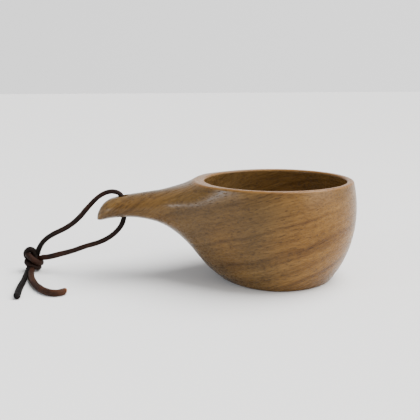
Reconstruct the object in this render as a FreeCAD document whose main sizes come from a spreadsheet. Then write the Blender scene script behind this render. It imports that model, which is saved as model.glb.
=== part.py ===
import FreeCAD, Part
import math
import os

# A hand-carved wooden drinking cup (kuksa): a round bowl with an integral
# tongue-shaped handle, and a leather lace looped through a strap hole near the
# end of the handle.  +Z up, the handle points to -X, the bowl's centre line is
# the Z axis and the cup stands on z = 0.  Millimetres.

V = FreeCAD.Vector
os.makedirs("parts", exist_ok=True)
doc = FreeCAD.newDocument("kuksa")

# ----------------------------------------------------------------- dimensions
sheet = doc.addObject("Spreadsheet::Sheet", "dims")
_row = [0]


def cell(alias, value, note=""):
    _row[0] += 1
    r = _row[0]
    sheet.set("A%d" % r, alias)
    sheet.set("B%d" % r, str(value))
    sheet.setAlias("B%d" % r, alias)
    if note:
        sheet.set("C%d" % r, note)


# bowl
cell("cup_height", 59.0, "rim plane above the resting plane")
cell("belly_radius", 48.5, "greatest outside radius of the bowl")
cell("belly_level", 41.0, "height of the greatest radius")
cell("belly_semi", 58.8, "vertical semi-axis of the bowl's outer curve")
cell("mouth_radius", 42.0, "inside radius at the rim")
cell("hollow_radius", 44.2, "greatest inside radius")
cell("floor_level", 7.0, "inside bottom above the resting plane")
cell("floor_flat", 18.0, "flat middle of the inside bottom, radius")
cell("rim_round_out", 1.5, "rounding of the rim's outer edge")
cell("rim_round_in", 1.2, "rounding of the rim's inner edge")
cell("base_round", 1.6, "rounding of the base edge")
# strap hole
cell("hole_pos", -91.0, "strap hole's axis along X")
cell("hole_dia", 6.0, "strap hole bore")
cell("hole_round", 0.7, "softened edge of the strap hole")
cell("mouth_top", 48.85, "where the top mouth starts to widen")
cell("mouth_under", 37.5, "where the under mouth starts to widen")
cell("top_lean", 8.0, "slope of the handle's top at the hole, degrees")
cell("under_lean", 2.0, "slope of the handle's underside at the hole, degrees")
# lace
cell("lace_dia", 3.2, "leather lace")
cell("knot_core", 4.9, "solid middle of the knot, radius")

# lofting table of the handle side: station, half width, underside level,
# level of the greatest width, top level, and fullness of the upper shoulders
# (the corner weight: 0.7071 is a plain ellipse, more is squarer)
stations = [
    (-106.9, 2.3, 34.95, 35.9, 37.5, 0.71),
    (-106.3, 4.4, 34.75, 36.9, 39.8, 0.71),
    (-105.0, 6.4, 34.75, 38.2, 42.4, 0.71),
    (-103.2, 8.0, 35.0, 39.6, 44.7, 0.72),
    (-100.6, 9.7, 35.6, 41.0, 46.8, 0.72),
    (-97.0, 11.2, 36.25, 42.1, 48.2, 0.74),
    (-92.0, 12.5, 36.7, 43.0, 49.4, 0.76),
    (-85.0, 13.1, 36.7, 43.5, 50.4, 0.78),
    (-77.0, 13.8, 35.55, 43.6, 51.6, 0.82),
    (-69.0, 15.6, 33.2, 43.4, 52.7, 0.88),
    (-62.0, 18.5, 29.3, 43.2, 54.3, 0.97),
    (-56.0, 22.1, 24.5, 42.8, 55.9, 1.06),
    (-51.0, 25.5, 19.3, 42.4, 57.8, 1.12),
    (-46.0, 28.9, 13.1, 41.9, 60.8, 1.12),
    (-41.0, 32.1, 7.2, 41.4, 66.8, 1.04),
    (-35.0, 35.7, 1.8, 41.1, 76.0, 0.92),
    (-28.0, 39.7, -3.4, 41.0, 86.4, 0.80),
    (-20.0, 44.18, -9.2, 41.0, 94.2, 0.7071),
    (-10.0, 47.46, -14.8, 41.0, 98.5, 0.7071),
    (-4.0, 48.335, -17.2, 41.0, 99.6, 0.7071),
    (-1.5, 48.477, -17.7, 41.0, 99.77, 0.7071),
]
COLS = ("along", "half_width", "under", "widest", "upper", "fullness")
for i, st in enumerate(stations):
    for word, val in zip(COLS, st):
        cell("station%d_%s" % (i, word), val)
doc.recompute()


def dim(alias):
    return float(sheet.get(alias))


# ------------------------------------------------------------ the carved blank
# Every section across the handle is an oval of four quarter curves that meet at
# the widest level.  The rows of the surface follow the lofting table smoothly,
# its tangent is vertical along the widest line, square to the middle plane
# along the top and bottom lines, and parallel to X at the bowl's middle, so the
# handle runs into the round side of the bowl without a crease.
R_BELLY = dim("belly_radius")
Z_BELLY = dim("belly_level")
SEMI = dim("belly_semi")
ROUND = math.sqrt(0.5)

table = [[dim("station%d_%s" % (i, w)) for w in COLS] for i in range(len(stations))]
table.append([0.0, R_BELLY, Z_BELLY - SEMI, Z_BELLY, Z_BELLY + SEMI, ROUND])
along = [0.0]
for p0, p1 in zip(table, table[1:]):
    along.append(along[-1] + math.sqrt((p1[0] - p0[0]) ** 2 + 0.5 * (p1[1] - p0[1]) ** 2
                                       + 0.1 * (p1[4] - p0[4]) ** 2))


def smooth(col_a, col_b, start, end):
    """Interpolating cubic through two table columns; returns its curve."""
    c = Part.BSplineCurve()
    c.interpolate(Points=[V(p[0], p[col_a], p[col_b]) for p in table], Parameters=along,
                  InitialTangent=V(*start), FinalTangent=V(*end), Scale=False)
    return c


end_speed = 1.0
c_low = smooth(1, 2, (0.0, 1.2, -0.25), (end_speed, 0, 0))
c_top = smooth(3, 4, (0.0, 0.5, 1.2), (end_speed, 0, 0))
c_full = smooth(5, 5, (0.0, 0.001, 0.001), (end_speed, 0, 0))
rows = [(a.x, a.y, a.z, b.y, b.z, f.y) for a, b, f in
        zip(c_low.getPoles(), c_top.getPoles(), c_full.getPoles())]
knots, mults = c_low.getKnots(), c_low.getMultiplicities()


def patch(side, upper):
    """One quarter of the surface: side is +1 or -1 in Y."""
    poles, weights = [], []
    for x, half, low, mid, top, full in rows:
        y = side * half
        if upper:
            poles.append([V(x, y, mid), V(x, y, top), V(x, 0, top)])
            weights.append([1.0, full, 1.0])
        else:
            poles.append([V(x, 0, low), V(x, y, low), V(x, y, mid)])
            weights.append([1.0, ROUND, 1.0])
    sf = Part.BSplineSurface()
    sf.buildFromPolesMultsKnots(poles, mults, [3, 3], knots, [0.0, 1.0], False, False,
                                3, 2, weights)
    return sf


def section_wire(x, half, low, mid, top, full):
    edges = []
    for y0, z0, yc, zc, y1, z1, w in ((0, low, half, low, half, mid, ROUND),
                                      (half, mid, half, top, 0, top, full),
                                      (0, top, -half, top, -half, mid, full),
                                      (-half, mid, -half, low, 0, low, ROUND)):
        c = Part.BSplineCurve()
        c.buildFromPolesMultsKnots([V(x, y0, z0), V(x, yc, zc), V(x, y1, z1)], [3, 3],
                                   [0.0, 1.0], False, 2, [1.0, w, 1.0])
        edges.append(c.toShape())
    return Part.Wire(edges)


skin = [patch(side, upper).toShape() for side in (1, -1) for upper in (False, True)]
caps = [Part.Face(section_wire(*table[0])), Part.Face(section_wire(*table[-1]))]
shell = Part.makeShell(skin + caps)
shell.sewShape()
handle_side = Part.Solid(Part.Shell(shell.Faces))
if handle_side.Volume < 0:
    handle_side.reverse()

outline = section_wire(*table[-1])
half_outline = Part.Face(Part.Wire(outline.Edges[:2] + [
    Part.LineSegment(V(0, 0, Z_BELLY + SEMI), V(0, 0, Z_BELLY - SEMI)).toShape()]))
round_side = half_outline.revolve(V(0, 0, 0), V(0, 0, 1), -180)
print("handle side", handle_side.isValid(), handle_side.isClosed(), len(handle_side.Faces),
      round(handle_side.Volume / 1000, 2), "round side", round_side.isValid())

blank = doc.addObject("Part::Feature", "CarvedBlank")
blank.Shape = handle_side.fuse(round_side).removeSplitter()
blank.Placement = FreeCAD.Placement()
print("blank", blank.Shape.ShapeType, blank.Shape.isValid(), len(blank.Shape.Solids),
      "faces", len(blank.Shape.Faces), "vol", round(blank.Shape.Volume / 1000, 2))

# Rim plane and flat foot: the blank is kept between z = 0 and the rim.
trim = doc.addObject("Part::Box", "TrimBlock")
trim.setExpression("Length", "180")
trim.setExpression("Width", "120")
trim.setExpression("Height", "dims.cup_height")
trim.Placement = FreeCAD.Placement(V(-120, -60, 0), FreeCAD.Rotation())
trimmed = doc.addObject("Part::Common", "TrimmedBlank")
trimmed.Base = blank
trimmed.Tool = trim

# ------------------------------------------------------------ the inside hollow
hollow = doc.addObject("PartDesign::Body", "HollowBody")


def origin_plane(body, role):
    for f in body.Origin.OriginFeatures:
        if f.Role == role:
            return f
    raise RuntimeError(role)


sk = hollow.newObject("Sketcher::SketchObject", "HollowProfile")
sk.AttachmentSupport = [(origin_plane(hollow, "XZ_Plane"), "")]
sk.MapMode = "FlatFace"
mr, hr = dim("mouth_radius"), dim("hollow_radius")
zf, ff, zr = dim("floor_level"), dim("floor_flat"), dim("cup_height")
Rw = ((zr - Z_BELLY) ** 2 + (hr - mr) ** 2) / (2 * (hr - mr))
cw = hr - Rw
rc = ((Rw ** 2) - (ff - cw) ** 2 - (Z_BELLY - zf) ** 2) / (2 * (Rw - (Z_BELLY - zf)))
ang = math.atan2(zf + rc - Z_BELLY, ff - cw)
rl = dim("rim_round_in")
lz = zr - rl
lx = cw + math.sqrt((Rw + rl) ** 2 - (lz - Z_BELLY) ** 2)
lift = math.atan2(lz - Z_BELLY, lx - cw)
g = sk.addGeometry
g(Part.LineSegment(V(0, zf, 0), V(ff, zf, 0)))
g(Part.ArcOfCircle(Part.Circle(V(ff, zf + rc, 0), V(0, 0, 1), rc), -math.pi / 2, ang))
g(Part.ArcOfCircle(Part.Circle(V(cw, Z_BELLY, 0), V(0, 0, 1), Rw), ang, lift))
g(Part.ArcOfCircle(Part.Circle(V(lx, lz, 0), V(0, 0, 1), rl), math.pi / 2, math.pi + lift))
g(Part.LineSegment(V(lx, zr, 0), V(lx, zr + 6, 0)))
g(Part.LineSegment(V(lx, zr + 6, 0), V(0, zr + 6, 0)))
g(Part.LineSegment(V(0, zr + 6, 0), V(0, zf, 0)))


def con(*a):
    import Sketcher
    return sk.addConstraint(Sketcher.Constraint(*a))


con("Tangent", 0, 2, 1, 1)
con("Tangent", 1, 2, 2, 1)
con("Tangent", 2, 2, 3, 2)
con("Coincident", 3, 1, 4, 1)
con("Coincident", 4, 2, 5, 1)
con("Coincident", 5, 2, 6, 1)
con("Coincident", 6, 2, 0, 1)
con("Horizontal", 0)
con("Horizontal", 5)
con("Vertical", 4)
con("Vertical", 6)
con("Vertical", 3, 3, 3, 1)
con("PointOnObject", 0, 1, -2)


def named(name, expr, *a):
    k = con(*a)
    sk.renameConstraint(k, name)
    sk.setExpression("Constraints." + name, expr)


named("floor", "dims.floor_level", "DistanceY", -1, 1, 0, 1, zf)
named("flat", "dims.floor_flat", "DistanceX", -1, 1, 0, 2, ff)
named("belly", "dims.belly_level", "DistanceY", -1, 1, 2, 3, Z_BELLY)
WALL = ("((dims.cup_height - dims.belly_level)^2 + (dims.hollow_radius"
        " - dims.mouth_radius)^2) / (2 * (dims.hollow_radius - dims.mouth_radius))")
named("wall", WALL, "Radius", 2, Rw)
named("wall_middle", WALL + " - dims.hollow_radius", "DistanceX", 2, 3, -1, 1, Rw - hr)
named("lip", "dims.rim_round_in", "Radius", 3, rl)
named("rim", "dims.cup_height", "DistanceY", -1, 1, 3, 1, zr)
named("above", "dims.cup_height + 6", "DistanceY", -1, 1, 5, 1, zr + 6)
doc.recompute()
print("hollow sketch open dofs", sk.solve(), "lip at", round(lx, 2), round(lz, 2))

turned = hollow.newObject("PartDesign::Revolution", "HollowTurned")
turned.Profile = sk
turned.ReferenceAxis = (sk, ["V_Axis"])
turned.Angle = 360
doc.recompute()

hollowed = doc.addObject("Part::Cut", "HollowedCup")
hollowed.Base = trimmed
hollowed.Tool = hollow

# --------------------------------------------------------------- the strap hole
# A straight bore whose two mouths are softened with a small countersink, each
# square to the surface that it opens in.
hole = doc.addObject("Part::Cylinder", "StrapHole")
hole.setExpression("Radius", "dims.hole_dia / 2")
hole.Height = 40
hole.Placement.Base = V(dim("hole_pos"), 0, 24)
hole.setExpression("Placement.Base.x", "dims.hole_pos")
mouths = []
for word, level, lean, flip in (("Top", "dims.mouth_top", "top_lean", 0),
                                ("Under", "dims.mouth_under", "under_lean", 180)):
    cone = doc.addObject("Part::Cone", "StrapMouth" + word)
    cone.setExpression("Radius1", "dims.hole_dia / 2 - 0.1")
    cone.setExpression("Radius2", "dims.hole_dia / 2 + 2 * dims.hole_round")
    cone.setExpression("Height", "0.1 + 2 * dims.hole_round")
    cone.Placement = FreeCAD.Placement(
        V(dim("hole_pos"), 0, dim("mouth_" + word.lower())),
        FreeCAD.Rotation(V(0, 1, 0), flip - dim(lean)))
    cone.setExpression("Placement.Base.x", "dims.hole_pos")
    cone.setExpression("Placement.Base.z", level)
    mouths.append(cone)
hole_tool = doc.addObject("Part::MultiFuse", "StrapHoleTool")
hole_tool.Shapes = [hole] + mouths
drilled = doc.addObject("Part::Cut", "DrilledCup")
drilled.Base = hollowed
drilled.Tool = hole_tool
doc.recompute()


def pick(shape, test):
    return [k + 1 for k, e in enumerate(shape.Edges) if test(e)]


def flat_at(e, z, tol=0.02):
    b = e.BoundBox
    return abs(b.ZMin - z) < tol and abs(b.ZMax - z) < tol


def reach(e):
    n = 9
    a, b = e.ParameterRange
    r = [e.valueAt(a + (b - a) * i / (n - 1)) for i in range(n)]
    return min(math.hypot(p.x, p.y) for p in r), max(math.hypot(p.x, p.y) for p in r)


H = dim("cup_height")
rim = doc.addObject("Part::Fillet", "RimRounded")
rim.Base = drilled
rim_out = pick(drilled.Shape, lambda e: flat_at(e, H) and reach(e)[0] > lx + 1.0)
rim.Edges = [(k, dim("rim_round_out"), dim("rim_round_out")) for k in rim_out]
doc.recompute()
foot = pick(rim.Shape, lambda e: flat_at(e, 0))
print("edges: rim out", len(rim_out), "foot", len(foot))

cup = doc.addObject("Part::Fillet", "CupBody")
cup.Base = rim
cup.Edges = [(k, dim("base_round"), dim("base_round")) for k in foot]
cup.Label = "cup_body"
doc.recompute()
print("cup", cup.State, cup.Shape.isValid(), len(cup.Shape.Solids), len(cup.Shape.Faces),
      round(cup.Shape.Volume / 1000, 2), "hollow ml", round(hollow.Shape.Volume / 1000, 1))

# ---------------------------------------------------------------------- the lace
# One leather lace.  Both halves leave the strap hole, one above and one below
# the handle, and meet in a knot; its two tails lie on the table.
LACE = dim("lace_dia")
routes = {
    "lace_upper": [(-91.0, 0.0, 44.2), (-91.2, 0.0, 48.9), (-93.8, 0.5, 53.0),
                   (-99.2, 1.4, 53.1), (-105.4, 2.4, 48.9), (-112.0, 3.5, 42.4),
                   (-119.4, 4.7, 34.6), (-127.6, 6.1, 28.1), (-136.4, 7.6, 24.3),
                   (-143.6, 8.8, 20.0), (-147.9, 9.6, 13.4)],
    "lace_lower": [(-91.0, 0.0, 44.2), (-90.8, 0.0, 39.5), (-91.3, 0.1, 33.8),
                   (-94.5, 0.6, 28.5), (-100.2, 1.6, 23.4), (-107.6, 2.8, 19.6),
                   (-116.2, 4.3, 17.1), (-125.2, 5.8, 13.4), (-134.0, 7.3, 11.0),
                   (-141.0, 8.4, 8.9), (-145.4, 9.1, 8.0)],
    "lace_tail_dark": [(-152.6, 6.4, 3.9), (-152.7, 1.9, 2.2), (-151.8, -4.6, 1.75),
                       (-150.3, -11.8, 1.75), (-148.6, -19.8, 1.8), (-148.0, -28.4, 1.75),
                       (-146.3, -37.4, 1.75), (-144.8, -44.8, 1.8)],
    "lace_tail_light": [(-147.9, 5.9, 3.4), (-147.7, 1.5, 2.1), (-147.2, -4.4, 1.8),
                        (-145.6, -12.2, 1.75), (-142.0, -21.4, 1.75), (-137.0, -30.0, 1.8),
                        (-131.4, -36.8, 1.75), (-125.6, -40.3, 1.75), (-121.3, -39.1, 1.8),
                        (-119.2, -35.7, 1.75)],
}


def lace_path(name, pts):
    """Straight runs joined by tangent arcs, each arc as large as its runs allow."""
    P = [V(*p) for p in pts]
    edges = []
    start = P[0]
    radii = []
    for i in range(1, len(P) - 1):
        a, b, c = P[i - 1], P[i], P[i + 1]
        u, w = (a - b), (c - b)
        la, lc = u.Length, w.Length
        u = u * (1.0 / la)
        w = w * (1.0 / lc)
        turn = math.pi - u.getAngle(w)
        cut = 0.45 * min(la, lc)
        radii.append(round(cut / math.tan(turn / 2), 1))
        p1, p2 = b + u * cut, b + w * cut
        bis = (u + w)
        bis.normalize()
        r = cut / math.tan(turn / 2)
        centre = b + bis * (r / math.cos(turn / 2))
        mid = centre - bis * r
        edges.append(Part.LineSegment(start, p1).toShape())
        edges.append(Part.Arc(p1, mid, p2).toShape())
        start = p2
    edges.append(Part.LineSegment(start, P[-1]).toShape())
    wire = Part.Wire(edges)
    runs = [round((P[i + 1] - P[i]).Length, 1) for i in range(len(P) - 1)]
    print(name, "radii", radii, "runs", runs, "length", round(wire.Length, 1))
    return wire


subparts = [cup]
for name, pts in routes.items():
    wire = lace_path(name, pts)
    spine = doc.addObject("Part::Feature", name.title().replace("_", "") + "Path")
    spine.Shape = wire
    ring = doc.addObject("Part::Circle", name.title().replace("_", "") + "Ring")
    ring.setExpression("Radius", "dims.lace_dia / 2")
    d = (V(*pts[1]) - V(*pts[0])).normalize()
    ring.Placement = FreeCAD.Placement(V(*pts[0]), FreeCAD.Rotation(V(0, 0, 1), d))
    doc.recompute()
    tube = doc.addObject("Part::Sweep", name.title().replace("_", ""))
    tube.Sections = [ring]
    tube.Spine = (spine, [])
    tube.Solid = True
    tube.Frenet = False
    tube.Label = name
    doc.recompute()
    want = math.pi * (LACE / 2) ** 2 * wire.Length
    print("   volume / (section x length) = %.4f" % (tube.Shape.Volume / want))
    subparts.append(tube)

# The knot: a round core with the lace's own coils standing out of it.  Two coils
# lie side by side across it and a third rises out of its outer upper side.
KNOT = V(-150.2, 9.9, 7.7)
core = doc.addObject("Part::Sphere", "KnotCore")
core.setExpression("Radius", "dims.knot_core")
core.Placement.Base = KNOT
coils = []
for k, (off, size, axis) in enumerate((((1.35, 0.2, 1.45), 4.75, (0.7, 0.12, 0.7)),
                                       ((-1.35, -0.2, -1.35), 4.55, (0.7, 0.12, 0.7)),
                                       ((-1.5, 0.6, 2.1), 4.1, (-0.75, 0.45, 0.48)))):
    ringk = doc.addObject("Part::Torus", "KnotCoil%d" % (k + 1))
    ringk.setExpression("Radius2", "dims.lace_dia / 2 + 0.1")
    ringk.Radius1 = size
    ringk.Placement = FreeCAD.Placement(KNOT + V(*off), FreeCAD.Rotation(V(0, 0, 1), V(*axis)))
    coils.append(ringk)
knot = doc.addObject("Part::MultiFuse", "LaceKnot")
knot.Shapes = [core] + coils
knot.Label = "lace_knot"
doc.recompute()
subparts.append(knot)

# -------------------------------------------------------------- check and write
for o in doc.Objects:
    if "Invalid" in o.State or "Error" in o.State:
        raise RuntimeError("failed object %s %s" % (o.Name, o.State))
for o in subparts:
    s = o.Shape
    if s.isNull() or not s.isValid() or len(s.Solids) != 1:
        raise RuntimeError("bad shape %s solids %d" % (o.Label, len(s.Solids)))
    s.exportStep("parts/%s.step" % o.Label)
    b = s.BoundBox
    print("%-16s faces %3d vol %9.2f  x %.1f..%.1f  y %.1f..%.1f  z %.2f..%.2f" % (
        o.Label, len(s.Faces), s.Volume, b.XMin, b.XMax, b.YMin, b.YMax, b.ZMin, b.ZMax))
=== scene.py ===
import math

import bpy
import bmesh
from mathutils import Matrix, Vector, noise


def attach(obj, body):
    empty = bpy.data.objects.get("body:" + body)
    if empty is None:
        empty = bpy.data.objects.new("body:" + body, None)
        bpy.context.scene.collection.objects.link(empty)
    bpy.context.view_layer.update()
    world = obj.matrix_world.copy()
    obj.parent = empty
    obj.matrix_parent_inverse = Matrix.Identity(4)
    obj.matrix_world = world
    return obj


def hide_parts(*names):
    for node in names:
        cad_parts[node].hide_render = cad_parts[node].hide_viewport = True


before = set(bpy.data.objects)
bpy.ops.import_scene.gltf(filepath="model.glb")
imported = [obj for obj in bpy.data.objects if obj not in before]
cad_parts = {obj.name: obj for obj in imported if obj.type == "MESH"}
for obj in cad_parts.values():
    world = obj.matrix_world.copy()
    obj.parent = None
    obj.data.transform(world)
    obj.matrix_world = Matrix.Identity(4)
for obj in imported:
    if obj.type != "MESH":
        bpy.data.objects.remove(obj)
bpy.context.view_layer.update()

MM = 0.001


# ------------------------------------------------------------------- camera
cam_data = bpy.data.cameras.new("view")
cam_data.lens = 53.14
cam_data.sensor_width = 36.0
cam_data.clip_start, cam_data.clip_end = 0.02, 20.0
cam = bpy.data.objects.new("view", cam_data)
bpy.context.scene.collection.objects.link(cam)
PITCH, ROLL = 0.2004, 0.0061
cp, sp, cr, sr = math.cos(PITCH), math.sin(PITCH), math.cos(ROLL), math.sin(ROLL)
forward = Vector((0, cp, -sp))
up0, right0 = Vector((0, sp, cp)), Vector((1, 0, 0))
right = right0 * cr - up0 * sr
up = right0 * sr + up0 * cr
basis = Matrix((right, up, -forward)).transposed().to_4x4()
basis.translation = Vector((-38.95, -367.37, 114.88)) * MM
cam.matrix_world = basis
bpy.context.scene.camera = cam


# -------------------------------------------------------------------- lace
# Two halves of one leather lace.  Each half starts in the strap hole's bore,
# runs to the knot, goes through it and ends in its own cut tail.
KNOT = Vector((-150.2, 9.9, 7.7))


def knot(*pts):
    return [tuple(KNOT + Vector(p)) for p in pts]


half_a = [(-91.0, 0.0, 44.2), (-91.2, 0.0, 48.0), (-93.9, 0.5, 51.5),
          (-99.6, 1.4, 52.0), (-106.1, 2.5, 49.0), (-112.4, 3.5, 42.9),
          (-119.4, 4.7, 34.6), (-127.6, 6.1, 28.3), (-136.4, 7.6, 24.3),
          (-143.0, 8.8, 19.8)]
half_a += knot((3.3, -0.2, 6.3), (2.0, 1.2, 2.8), (0.2, 2.4, 0.2), (-2.6, 2.6, -0.8),
               (-4.8, 1.0, 1.2), (-4.5, -1.0, 4.2), (-2.1, -1.6, 6.8), (0.1, -0.2, 5.5),
               (0.9, 0.2, 1.4), (0.6, -0.9, -2.0), (-1.7, -1.4, -3.8))
half_a += [(-152.2, 4.4, 2.7), (-151.9, -0.9, 1.9), (-151.0, -7.6, 1.7),
           (-149.5, -14.8, 1.7), (-148.6, -22.4, 1.7), (-147.6, -31.0, 1.7),
           (-146.0, -38.8, 1.7), (-144.9, -44.6, 1.75)]

half_b = [(-91.0, 0.0, 44.2), (-90.8, 0.0, 39.5), (-91.3, 0.1, 33.8),
          (-94.5, 0.6, 28.5), (-100.2, 1.6, 23.4), (-107.6, 2.8, 19.6),
          (-116.2, 4.3, 17.1), (-125.2, 5.8, 13.4), (-134.0, 7.3, 11.0),
          (-141.0, 8.4, 8.9)]
half_b += knot((5.4, 0.2, 0.8), (2.4, 1.0, -0.8), (-1.4, 3.6, 0.8), (-4.0, 2.2, 3.2),
               (-3.4, -2.0, 3.5), (-0.8, -4.2, 1.8), (2.4, -4.2, -0.9), (4.7, -2.2, -2.7),
               (4.5, 1.4, -2.6), (1.4, 3.0, -2.0), (-2.4, 3.2, -2.4), (-4.9, 0.8, -1.4),
               (-3.8, -3.0, -2.0), (-0.4, -4.4, -3.9), (3.0, -2.9, -5.3), (3.2, 0.3, -5.6),
               (0.8, 1.0, -5.6))
half_b += [(-150.7, 7.6, 2.2), (-149.9, 2.2, 1.9), (-148.4, -4.4, 1.9),
           (-145.9, -12.4, 1.85), (-142.0, -21.4, 1.85), (-137.0, -30.0, 1.85),
           (-131.4, -36.8, 1.85), (-126.0, -40.0, 1.85), (-122.0, -39.0, 1.9),
           (-120.4, -36.3, 1.95)]


def centreline(pts):
    """Points of the NURBS spline through the route, in metres."""
    cu = bpy.data.curves.new("route", "CURVE")
    cu.dimensions = "3D"
    cu.resolution_u = 20
    sp_ = cu.splines.new("NURBS")
    sp_.points.add(len(pts) - 1)
    for p, co in zip(sp_.points, pts):
        p.co = (co[0] * MM, co[1] * MM, co[2] * MM, 1.0)
    sp_.order_u = 3
    sp_.use_endpoint_u = True
    ob = bpy.data.objects.new("route", cu)
    bpy.context.scene.collection.objects.link(ob)
    bpy.context.view_layer.update()
    me = bpy.data.meshes.new_from_object(ob.evaluated_get(bpy.context.evaluated_depsgraph_get()))
    line = [v.co.copy() for v in me.vertices]
    bpy.data.objects.remove(ob)
    bpy.data.curves.remove(cu)
    bpy.data.meshes.remove(me)
    out = [line[0]]
    for p in line[1:]:
        if (p - out[-1]).length > 0.00004:
            out.append(p)
    return out


def lace(name, line, profile, seed, body, cut_len):
    """Leather tube along a centreline: soft oval section, long creases, dents and
    a cut end.  profile maps the length so far in mm to (radius, flatness)."""
    n, ring = len(line), 28
    s = [0.0]
    for a, b in zip(line, line[1:]):
        s.append(s[-1] + (b - a).length / MM)
    total = s[-1]
    tang = [(line[min(i + 1, n - 1)] - line[max(i - 1, 0)]).normalized() for i in range(n)]
    nrm = tang[0].orthogonal().normalized()
    verts, along, cut = [], [], []
    off = Vector((seed * 17.3, seed * 5.1, seed * 9.7))
    for i in range(n):
        nrm = (nrm - tang[i] * nrm.dot(tang[i])).normalized()
        bi = tang[i].cross(nrm)
        rad, flat = profile(s[i], total)
        turn = 0.012 * s[i] + 1.3 * noise.noise(Vector((s[i] * 0.02, seed, 0.5)))
        for k in range(ring):
            th = 2 * math.pi * k / ring
            c, d = math.cos(th), math.sin(th)
            q = Vector((c * 1.3, d * 1.3, s[i] * 0.055)) + off
            crease = noise.noise(q * 1.5)
            dent = noise.noise(Vector((c * 0.9, d * 0.9, s[i] * 0.33)) + off * 2.0)
            fine = noise.noise(Vector((c * 3.4, d * 3.4, s[i] * 1.1)) + off)
            groove = -max(0.0, 0.10 - abs(noise.noise(Vector((c * 2.3, d * 2.3, s[i] * 0.03)) - off))) / 0.10
            r = rad * (1 + flat * math.cos(2 * (th - turn)) + 0.055 * crease + 0.05 * dent
                       + 0.022 * fine + 0.05 * groove)
            if i == n - 1:
                r *= 0.9
            slope = 0.0
            if i >= n - 3:                       # the cut is a little aslant
                slope = (0.35 * c + 0.15 * d) * rad * (1.0 if i == n - 1 else 0.5)
            verts.append(line[i] + (nrm * c + bi * d) * r * MM + tang[i] * slope * MM)
            along.append(s[i] / total)
            cut.append(max(0.0, 1 - (total - s[i]) / cut_len) if cut_len else 0.0)
    faces = []
    for i in range(n - 1):
        a, b = i * ring, (i + 1) * ring
        for k in range(ring):
            m = (k + 1) % ring
            faces.append((a + k, a + m, b + m, b + k))
    for end, sign in ((0, -1), (n - 1, 1)):
        base = end * ring
        inner = []
        rad = profile(s[end], total)[0]
        for k in range(ring):                    # rounded edge of the cut, then a fibrous face
            v = verts[base + k]
            inner.append(len(verts))
            verts.append(line[end] + (v - line[end]) * 0.72 + tang[end] * sign * 0.16 * rad * MM
                         + Vector((0, 0, 0.00012)) * noise.noise(Vector((k * 1.7, seed, 3.0))))
            along.append(s[end] / total)
            cut.append(1.0 if sign > 0 and cut_len else 0.0)
        mid = len(verts)
        verts.append(line[end] + tang[end] * sign * 0.12 * rad * MM)
        along.append(s[end] / total)
        cut.append(1.0 if sign > 0 and cut_len else 0.0)
        for k in range(ring):
            m = (k + 1) % ring
            q = (base + k, base + m, inner[m], inner[k])
            t = (inner[k], inner[m], mid)
            faces.append(q if sign > 0 else q[::-1])
            faces.append(t if sign > 0 else t[::-1])
    for v in verts:                              # the underside lies flat on the table
        v.z = max(v.z, 0.00006)
    me = bpy.data.meshes.new(name)
    me.from_pydata([tuple(v) for v in verts], [], faces)
    bm = bmesh.new()
    bm.from_mesh(me)
    bmesh.ops.recalc_face_normals(bm, faces=bm.faces)
    bm.to_mesh(me)
    bm.free()
    for word, vals in (("along", along), ("cut", cut)):
        at = me.attributes.new(word, "FLOAT", "POINT")
        at.data.foreach_set("value", vals)
    me.polygons.foreach_set("use_smooth", [True] * len(me.polygons))
    ob = bpy.data.objects.new(name, me)
    bpy.context.scene.collection.objects.link(ob)
    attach(ob, body)
    return ob, total


def ease(x, a, b):
    t = min(1.0, max(0.0, (x - a) / (b - a)))
    return t * t * (3 - 2 * t)


def profile_a(s, total):
    """Upper half: even, full in the knot, then a black tail that widens to its end."""
    r = 1.46 + 0.22 * ease(s, 22, 40)
    r -= 0.14 * ease(s, 60, 68) * (1 - ease(s, 72, 78))
    r += 0.10 * ease(s, 76, 84)
    tail = total - s
    r += -0.34 * ease(s, total - 52, total - 44) + 0.34 * ease(s, total - 40, total - 10)
    r -= 0.10 * (1 - ease(tail, 0, 1.2))
    return r, 0.06 + 0.05 * ease(s, total - 45, total - 20)


def profile_b(s, total):
    """Lower half: slim by the handle, full in the knot, thick brown tail."""
    r = 1.52 + 0.17 * ease(s, 35, 66)
    tail = total - s
    r += 0.24 * ease(s, total - 60, total - 40)
    r -= 0.12 * (1 - ease(tail, 0, 1.4)) + 0.10 * (1 - ease(tail, 2, 14))
    return r, 0.05


line_a, line_b = centreline(half_a), centreline(half_b)
lace_a, len_a = lace("lace_half_upper", line_a, profile_a, 1.0, "lanyard", 0.5)
lace_b, len_b = lace("lace_half_lower", line_b, profile_b, 2.0, "lanyard", 1.1)
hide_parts("lace_upper", "lace_tail_dark", "lace_knot")
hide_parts("lace_lower", "lace_tail_light")
print("lace lengths mm", round(len_a, 1), round(len_b, 1))


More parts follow.
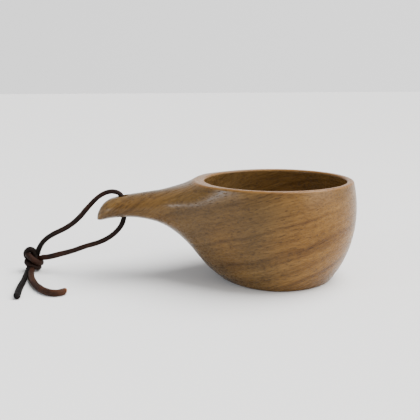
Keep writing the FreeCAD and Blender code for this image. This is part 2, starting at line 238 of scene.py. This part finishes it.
# --------------------------------------------------------------- node helpers
class Nodes:
    def __init__(self, name):
        self.mat = bpy.data.materials.new(name)
        self.mat.use_nodes = True
        self.tree = self.mat.node_tree
        self.tree.nodes.clear()
        self.out = self.tree.nodes.new("ShaderNodeOutputMaterial")
        self.bsdf = self.tree.nodes.new("ShaderNodeBsdfPrincipled")
        self.tree.links.new(self.bsdf.outputs[0], self.out.inputs[0])

    def put(self, sock, val):
        if isinstance(val, bpy.types.NodeSocket):
            self.tree.links.new(val, sock)
        elif val is not None:
            sock.default_value = val

    def math(self, op, a, b=None, c=None, clamp=False):
        n = self.tree.nodes.new("ShaderNodeMath")
        n.operation, n.use_clamp = op, clamp
        for i, v in enumerate((a, b, c)):
            if v is not None:
                self.put(n.inputs[i], v)
        return n.outputs[0]

    def vec(self, op, a, b=None, scale=None):
        n = self.tree.nodes.new("ShaderNodeVectorMath")
        n.operation = op
        self.put(n.inputs[0], a)
        if b is not None:
            self.put(n.inputs[1], b)
        if scale is not None:
            self.put(n.inputs["Scale"], scale)
        return n.outputs["Value" if op in ("LENGTH", "DOT_PRODUCT", "DISTANCE") else "Vector"]

    def noise(self, vector=None, w=None, dims="3D", scale=1.0, detail=2.0, rough=0.5,
              distortion=0.0, colour=False):
        n = self.tree.nodes.new("ShaderNodeTexNoise")
        n.noise_dimensions = dims
        if vector is not None:
            self.put(n.inputs["Vector"], vector)
        if w is not None:
            self.put(n.inputs["W"], w)
        n.inputs["Scale"].default_value = scale
        n.inputs["Detail"].default_value = detail
        n.inputs["Roughness"].default_value = rough
        n.inputs["Distortion"].default_value = distortion
        return n.outputs["Color" if colour else "Fac"]

    def range(self, v, a, b, c=0.0, d=1.0, smooth=False):
        n = self.tree.nodes.new("ShaderNodeMapRange")
        n.interpolation_type = "SMOOTHSTEP" if smooth else "LINEAR"
        n.clamp = True
        self.put(n.inputs["Value"], v)
        for name, val in (("From Min", a), ("From Max", b), ("To Min", c), ("To Max", d)):
            n.inputs[name].default_value = val
        return n.outputs["Result"]

    def mix(self, fac, a, b, blend="MIX"):
        n = self.tree.nodes.new("ShaderNodeMix")
        n.data_type, n.blend_type = "RGBA", blend
        self.put(n.inputs["Factor"], fac)
        ins = [i for i in n.inputs if i.type == "RGBA"]
        self.put(ins[0], a)
        self.put(ins[1], b)
        return [o for o in n.outputs if o.type == "RGBA"][0]

    def ramp(self, fac, stops):
        n = self.tree.nodes.new("ShaderNodeValToRGB")
        el = n.color_ramp.elements
        while len(el) < len(stops):
            el.new(0.5)
        for e, (pos, col) in zip(el, stops):
            e.position, e.color = pos, (*col, 1.0)
        self.put(n.inputs[0], fac)
        return n.outputs["Color"]

    def bump(self, height, distance, strength=1.0, normal=None):
        n = self.tree.nodes.new("ShaderNodeBump")
        n.inputs["Strength"].default_value = strength
        n.inputs["Distance"].default_value = distance
        self.put(n.inputs["Height"], height)
        if normal is not None:
            self.put(n.inputs["Normal"], normal)
        return n.outputs[0]

    def xyz(self, v):
        n = self.tree.nodes.new("ShaderNodeSeparateXYZ")
        self.put(n.inputs[0], v)
        return n.outputs

    def join(self, x, y, z):
        n = self.tree.nodes.new("ShaderNodeCombineXYZ")
        for i, v in enumerate((x, y, z)):
            self.put(n.inputs[i], v)
        return n.outputs[0]

    def mapping(self, v, loc=(0, 0, 0), rot=(0, 0, 0), scale=(1, 1, 1)):
        n = self.tree.nodes.new("ShaderNodeMapping")
        self.put(n.inputs["Vector"], v)
        n.inputs["Location"].default_value = loc
        n.inputs["Rotation"].default_value = rot
        n.inputs["Scale"].default_value = scale
        return n.outputs[0]

    def attr(self, name):
        n = self.tree.nodes.new("ShaderNodeAttribute")
        n.attribute_type, n.attribute_name = "GEOMETRY", name
        return n.outputs["Fac"]

    def coords(self):
        n = self.tree.nodes.new("ShaderNodeTexCoord")
        return self.vec("SCALE", n.outputs["Object"], scale=1000.0)   # millimetres


def lin(r, g, b):
    def f(c):
        c /= 255.0
        return c / 12.92 if c <= 0.04045 else ((c + 0.055) / 1.055) ** 2.4
    return (f(r), f(g), f(b))


# --------------------------------------------------------------------- wood
w = Nodes("oiled_wood")
P = w.coords()
# the tree's rings: shells about an axis along the handle that wander as they go
wander = w.vec("SUBTRACT", w.noise(P, scale=0.018, detail=2.0, rough=0.5, colour=True), (0.5, 0.5, 0.5))
ripple = w.vec("SUBTRACT", w.noise(w.vec("MULTIPLY", P, (0.45, 1.0, 1.0)), scale=0.10, detail=2.0,
                                   colour=True), (0.5, 0.5, 0.5))
Pw = w.vec("ADD", P, w.vec("MULTIPLY", wander, (9.0, 10.0, 10.0)))
Pw = w.vec("ADD", Pw, w.vec("MULTIPLY", ripple, (1.5, 2.6, 2.6)))
TURN = (0, math.radians(4), math.radians(5))
grain = w.mapping(Pw, rot=TURN)
shell = w.vec("LENGTH", w.vec("MULTIPLY", w.vec("ADD", grain, (-58.0, -34.0, 44.0)), (0.58, 0.45, 1.0)))
broad = w.noise(w=w.math("MULTIPLY", shell, 0.10), dims="1D", scale=1.0, detail=1.0, rough=0.4)
fine = w.noise(w=w.math("MULTIPLY", shell, 0.55), dims="1D", scale=1.0, detail=2.0, rough=0.6)
edge = w.math("PINGPONG", w.math("ADD", w.math("MULTIPLY", shell, 0.125), w.math("MULTIPLY", broad, 1.7)), 1.0)
lines = w.math("MULTIPLY", w.range(edge, 0.62, 1.0, 0.0, 1.0, smooth=True),
               w.range(w.noise(P, scale=0.03, detail=1.0), 0.35, 0.62))
# long fibres and pores, drawn out along the grain
Ps = w.vec("ADD", P, w.vec("MULTIPLY", wander, (3.0, 5.0, 5.0)))
Ps = w.xyz(w.mapping(w.vec("ADD", Ps, w.vec("MULTIPLY", ripple, (0.0, 3.4, 3.4))), rot=TURN))
Pm = w.vec("LENGTH", w.vec("MULTIPLY", w.vec("ADD", w.join(Ps[0], Ps[1], Ps[2]), (-58.0, -34.0, 44.0)),
                           (0.58, 0.45, 1.0)))
Pf = w.join(Ps[0], Ps[1], Pm)
fibre = w.noise(w.vec("MULTIPLY", Pf, (0.06, 0.55, 1.25)), scale=1.0, detail=4.0, rough=0.68)
streak = w.noise(w.vec("MULTIPLY", Pf, (0.016, 0.12, 0.34)), scale=1.0, detail=2.5, rough=0.6)
pore = w.noise(w.vec("MULTIPLY", Pf, (0.26, 1.2, 2.1)), scale=1.0, detail=2.0, rough=0.6)
pores = w.range(pore, 0.55, 0.66, 0.0, 1.0, smooth=True)
mottle = w.noise(w.vec("MULTIPLY", P, (0.45, 0.8, 0.8)), scale=1.0, detail=4.0, rough=0.65)
zone = w.noise(P, scale=0.024, detail=1.0)

tone = w.math("ADD", w.math("MULTIPLY", broad, 0.40), w.math("MULTIPLY", fine, 0.20))
tone = w.math("ADD", tone, w.math("MULTIPLY", fibre, 0.40))
tone = w.math("ADD", tone, w.math("MULTIPLY", streak, 0.22))
tone = w.math("ADD", tone, w.math("MULTIPLY", mottle, 0.14))
tone = w.math("SUBTRACT", tone, w.math("MULTIPLY", lines, 0.13))
tone = w.range(tone, 0.39, 0.90)
wood_a = w.ramp(tone, [(0.0, lin(48, 34, 18)), (0.28, lin(68, 50, 27)), (0.52, lin(84, 63, 35)),
                       (0.78, lin(98, 75, 43)), (1.0, lin(113, 88, 53))])
wood_b = w.ramp(tone, [(0.0, lin(62, 37, 15)), (0.28, lin(86, 56, 23)), (0.52, lin(106, 73, 31)),
                       (0.78, lin(124, 89, 42)), (1.0, lin(140, 104, 55))])
xyz = w.xyz(P)
# towards +x (from -40 to 45 mm) the wood mixes into the lighter, oranger ramp: the right side is painted lighter as
# painted light from the right, and the zone noise adds tone that varies at random
right_light_and_tone = w.math("ADD", w.range(xyz[0], -40.0, 45.0, 0.0, 0.65), w.math("MULTIPLY", w.math("SUBTRACT", zone, 0.5), 1.6),
              clamp=True)
wood = w.mix(right_light_and_tone, wood_a, wood_b)
wood = w.mix(w.math("MULTIPLY", pores, 0.62), wood, (*lin(40, 24, 12), 1.0))
# the rim's edge is painted lighter near the top plane: partly rubbed wear, partly painted light on the upward-facing
# top
rim_wear_and_top_light = w.range(xyz[2], 57.6, 58.9, 0.0, 0.35, smooth=True)
wood = w.mix(rim_wear_and_top_light, wood, (*lin(142, 98, 52), 1.0))
w.put(w.bsdf.inputs["Base Color"], wood)
w.put(w.bsdf.inputs["Roughness"], w.range(w.math("ADD", w.math("MULTIPLY", fibre, 0.5), w.math("MULTIPLY", pores, 0.6)),
                                          0.1, 0.9, 0.24, 0.44))
w.bsdf.inputs["Specular IOR Level"].default_value = 0.16
relief = w.math("SUBTRACT", w.math("MULTIPLY", fibre, 0.35), w.math("MULTIPLY", pores, 0.9))
w.put(w.bsdf.inputs["Normal"], w.bump(relief, 0.00006, 0.9))
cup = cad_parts["cup_body"]
cup.data.materials.clear()
cup.data.materials.append(w.mat)

# ------------------------------------------------------------------- leather


def leather(name, stops, tan):
    m = Nodes(name)
    Q = m.coords()
    along = m.attr("along")
    cut = m.attr("cut")
    blot = m.noise(Q, scale=0.16, detail=3.0, rough=0.6)
    grainy = m.noise(Q, scale=1.5, detail=4.0, rough=0.65)
    base = m.ramp(m.math("ADD", along, m.math("MULTIPLY", m.math("SUBTRACT", blot, 0.5), 0.05)), stops)
    base = m.mix(m.range(blot, 0.42, 0.66, 0.0, 0.62, smooth=True), base, (0.0045, 0.003, 0.0028, 1.0))
    base = m.mix(m.range(grainy, 0.55, 0.75, 0.0, 0.35), base, (*lin(58, 32, 19), 1.0))
    raw = m.mix(m.noise(Q, scale=2.6, detail=3.0), (*lin(96, 56, 28), 1.0), (*lin(160, 104, 58), 1.0))
    base = m.mix(m.math("MULTIPLY", m.range(cut, 0.25, 0.8, 0.0, 1.0, smooth=True), tan), base, raw)
    m.put(m.bsdf.inputs["Base Color"], base)
    m.put(m.bsdf.inputs["Roughness"], m.range(grainy, 0.3, 0.7, 0.46, 0.72))
    m.bsdf.inputs["Specular IOR Level"].default_value = 0.09
    wrinkle = m.noise(Q, scale=0.9, detail=5.0, rough=0.7, distortion=0.4)
    m.put(m.bsdf.inputs["Normal"], m.bump(wrinkle, 0.00035, 0.8))
    return m.mat


brown, dark, black = lin(38, 20, 13), lin(26, 14, 9), lin(4, 3, 3)
lace_a.data.materials.append(leather("leather_lace_dark", [
    (0.0, dark), (0.16, brown), (0.36, dark), (0.44, lin(16, 10, 8)), (0.52, black), (0.62, lin(20, 13, 10)),
    (0.72, black), (1.0, black)], 0.0))
lace_b.data.materials.append(leather("leather_lace_brown", [
    (0.0, black), (0.10, dark), (0.24, lin(44, 25, 14)), (0.42, brown), (0.52, lin(40, 22, 14)), (0.62, dark),
    (0.72, lin(42, 23, 14)), (0.9, lin(50, 28, 16)), (1.0, lin(58, 33, 18))], 1.0))

# -------------------------------------------------------------- floor and light
bm = bmesh.new()
bmesh.ops.create_grid(bm, x_segments=2, y_segments=2, size=8.0)
me = bpy.data.meshes.new("floor")
bm.to_mesh(me)
bm.free()
floor = bpy.data.objects.new("floor", me)
bpy.context.scene.collection.objects.link(floor)
floor.location = (0, 0, -0.0001)
fl = bpy.data.materials.new("floor")
fl.use_nodes = True
fb = fl.node_tree.nodes["Principled BSDF"]
fb.inputs["Base Color"].default_value = (0.735, 0.735, 0.735, 1.0)
fb.inputs["Roughness"].default_value = 1.0
fb.inputs["Specular IOR Level"].default_value = 0.0
me.materials.append(fl)


def area(name, at, to, size, power, colour=(1, 1, 1)):
    li = bpy.data.lights.new(name, "AREA")
    li.shape = "RECTANGLE"
    li.size, li.size_y = size
    li.energy = power
    li.color = colour
    ob = bpy.data.objects.new(name, li)
    bpy.context.scene.collection.objects.link(ob)
    ob.location = at
    ob.rotation_mode = "QUATERNION"
    ob.rotation_quaternion = (Vector(to) - Vector(at)).to_track_quat("-Z", "Y")
    return ob


sun = bpy.data.lights.new("sky_box", "SUN")
sun.energy, sun.angle = 7.2, math.radians(55)
sun.color = (1.0, 0.99, 0.975)
so = bpy.data.objects.new("sky_box", sun)
bpy.context.scene.collection.objects.link(so)
so.rotation_mode = "QUATERNION"
so.rotation_quaternion = Vector((-0.50, -0.06, -1.0)).to_track_quat("-Z", "Y")
area("key_right", (0.85, -0.50, 0.40), (0, 0, 0.03), (0.8, 0.6), 9.0, (1.0, 0.96, 0.88))
area("streak", (-0.73, -0.32, 0.28), (-0.04, -0.03, 0.055), (0.16, 0.10), 2.0, (0.80, 0.88, 1.0))
world = bpy.data.worlds.new("studio")
world.use_nodes = True
wt = world.node_tree
bg = wt.nodes["Background"]
bg.inputs[0].default_value = (1.0, 1.0, 1.0, 1.0)
tc = wt.nodes.new("ShaderNodeTexCoord")
sep = wt.nodes.new("ShaderNodeSeparateXYZ")
mr_ = wt.nodes.new("ShaderNodeMapRange")
mr_.interpolation_type = "SMOOTHSTEP"
for word, val in (("From Min", 0.13), ("From Max", 0.42), ("To Min", 1.58), ("To Max", 0.50)):
    mr_.inputs[word].default_value = val
wt.links.new(tc.outputs["Generated"], sep.inputs[0])
wt.links.new(sep.outputs[2], mr_.inputs["Value"])
side = wt.nodes.new("ShaderNodeMath")
side.operation = "MULTIPLY_ADD"
side.inputs[1].default_value, side.inputs[2].default_value = 0.16, 0.98
wt.links.new(sep.outputs[0], side.inputs[0])
both = wt.nodes.new("ShaderNodeMath")
both.operation = "MULTIPLY"
wt.links.new(side.outputs[0], both.inputs[0])
wt.links.new(mr_.outputs["Result"], both.inputs[1])
wt.links.new(both.outputs[0], bg.inputs[1])
bpy.context.scene.world = world
